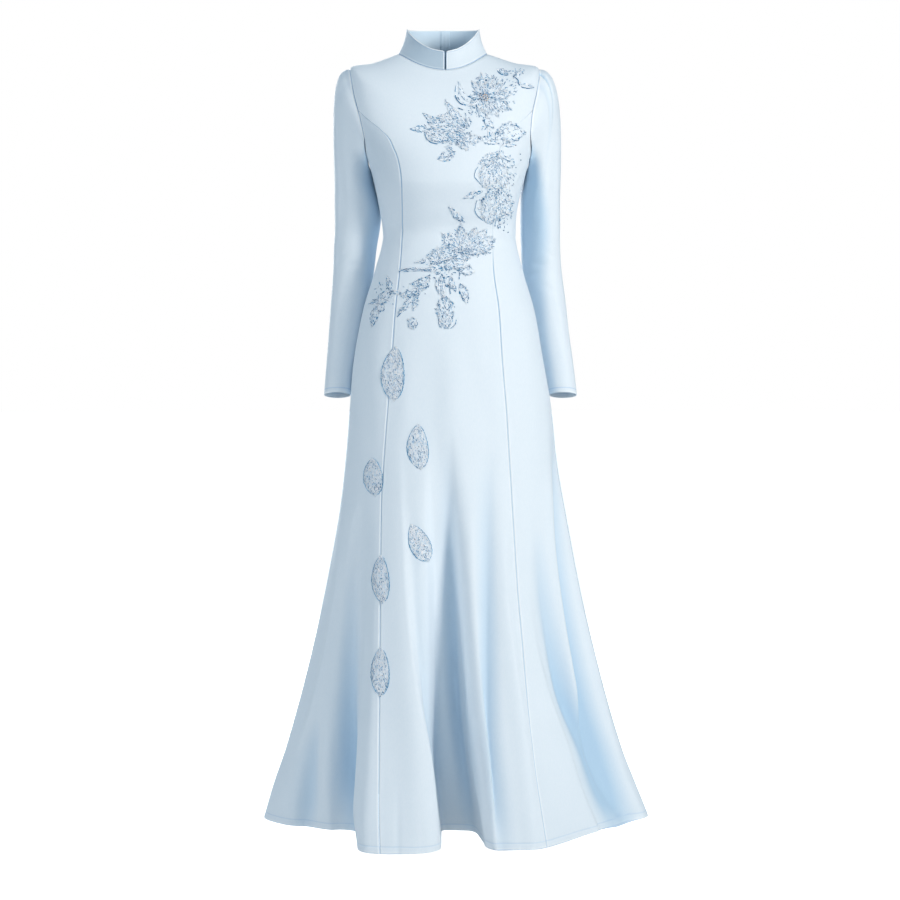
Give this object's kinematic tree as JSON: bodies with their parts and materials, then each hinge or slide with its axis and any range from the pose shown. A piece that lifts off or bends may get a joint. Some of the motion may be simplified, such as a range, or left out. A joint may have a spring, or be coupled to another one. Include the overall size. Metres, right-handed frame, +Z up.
{
  "type": "maxi dress",
  "caption": "Floor-length dress with a stand collar, long set-in sleeves, princess seams, a fluted flaring skirt and raised lace appliques, held in its worn hollow form.",
  "frame": {"origin": "middle of the neck, at the height of the shoulder seams' neck ends, where the shoulders of the wearer hold the dress up", "axes": "+Z up, the front faces -Y, +X is the wearer's left"},
  "size_m": [0.723, 0.577, 1.4699],
  "materials": {
    "crepe": "soft matt crepe with a slight sheen",
    "lace": "corded embroidery",
    "zip_metal": "satin"
  },
  "bodies": {
    "dress": {"front_centre": "crepe", "back_left": "crepe", "back_right": "crepe", "side_front_left": "crepe", "side_front_right": "crepe", "side_back_left": "crepe", "side_back_right": "crepe", "sleeve_left": "crepe", "sleeve_right": "crepe", "collar_left": "crepe", "collar_right": "crepe", "applique_blossom": "lace", "applique_breast_petals": "lace", "applique_bud": "lace", "applique_chest_cluster": "lace", "applique_chest_leaf": "lace", "applique_curl": "lace", "applique_hip_branch": "lace", "applique_hip_spray": "lace", "applique_ring_drop": "lace", "applique_shoulder_sprig": "lace", "applique_side_lower": "lace", "applique_side_sprig": "lace", "applique_side_upper": "lace", "applique_teardrop": "lace", "applique_thin_drop": "lace", "applique_waist": "lace", "applique_waist_sprig": "lace", "applique_waist_stem": "lace", "leaf_calf": "lace", "leaf_hip": "lace", "leaf_knee": "lace", "leaf_shin": "lace", "leaf_thigh_side": "lace", "leaf_thigh_upper": "lace", "zip_slider": "zip_metal"},
    "pull_tab": {"zip_tab": "zip_metal"}
  },
  "joints": [
    {"name": "pull_tab_swing", "type": "hinge", "parent": "dress", "child": "pull_tab", "pos_m": [0, 0.07302, 0.00376], "axis": [1, 0, 0], "range_deg": [0, 95]}
  ]
}
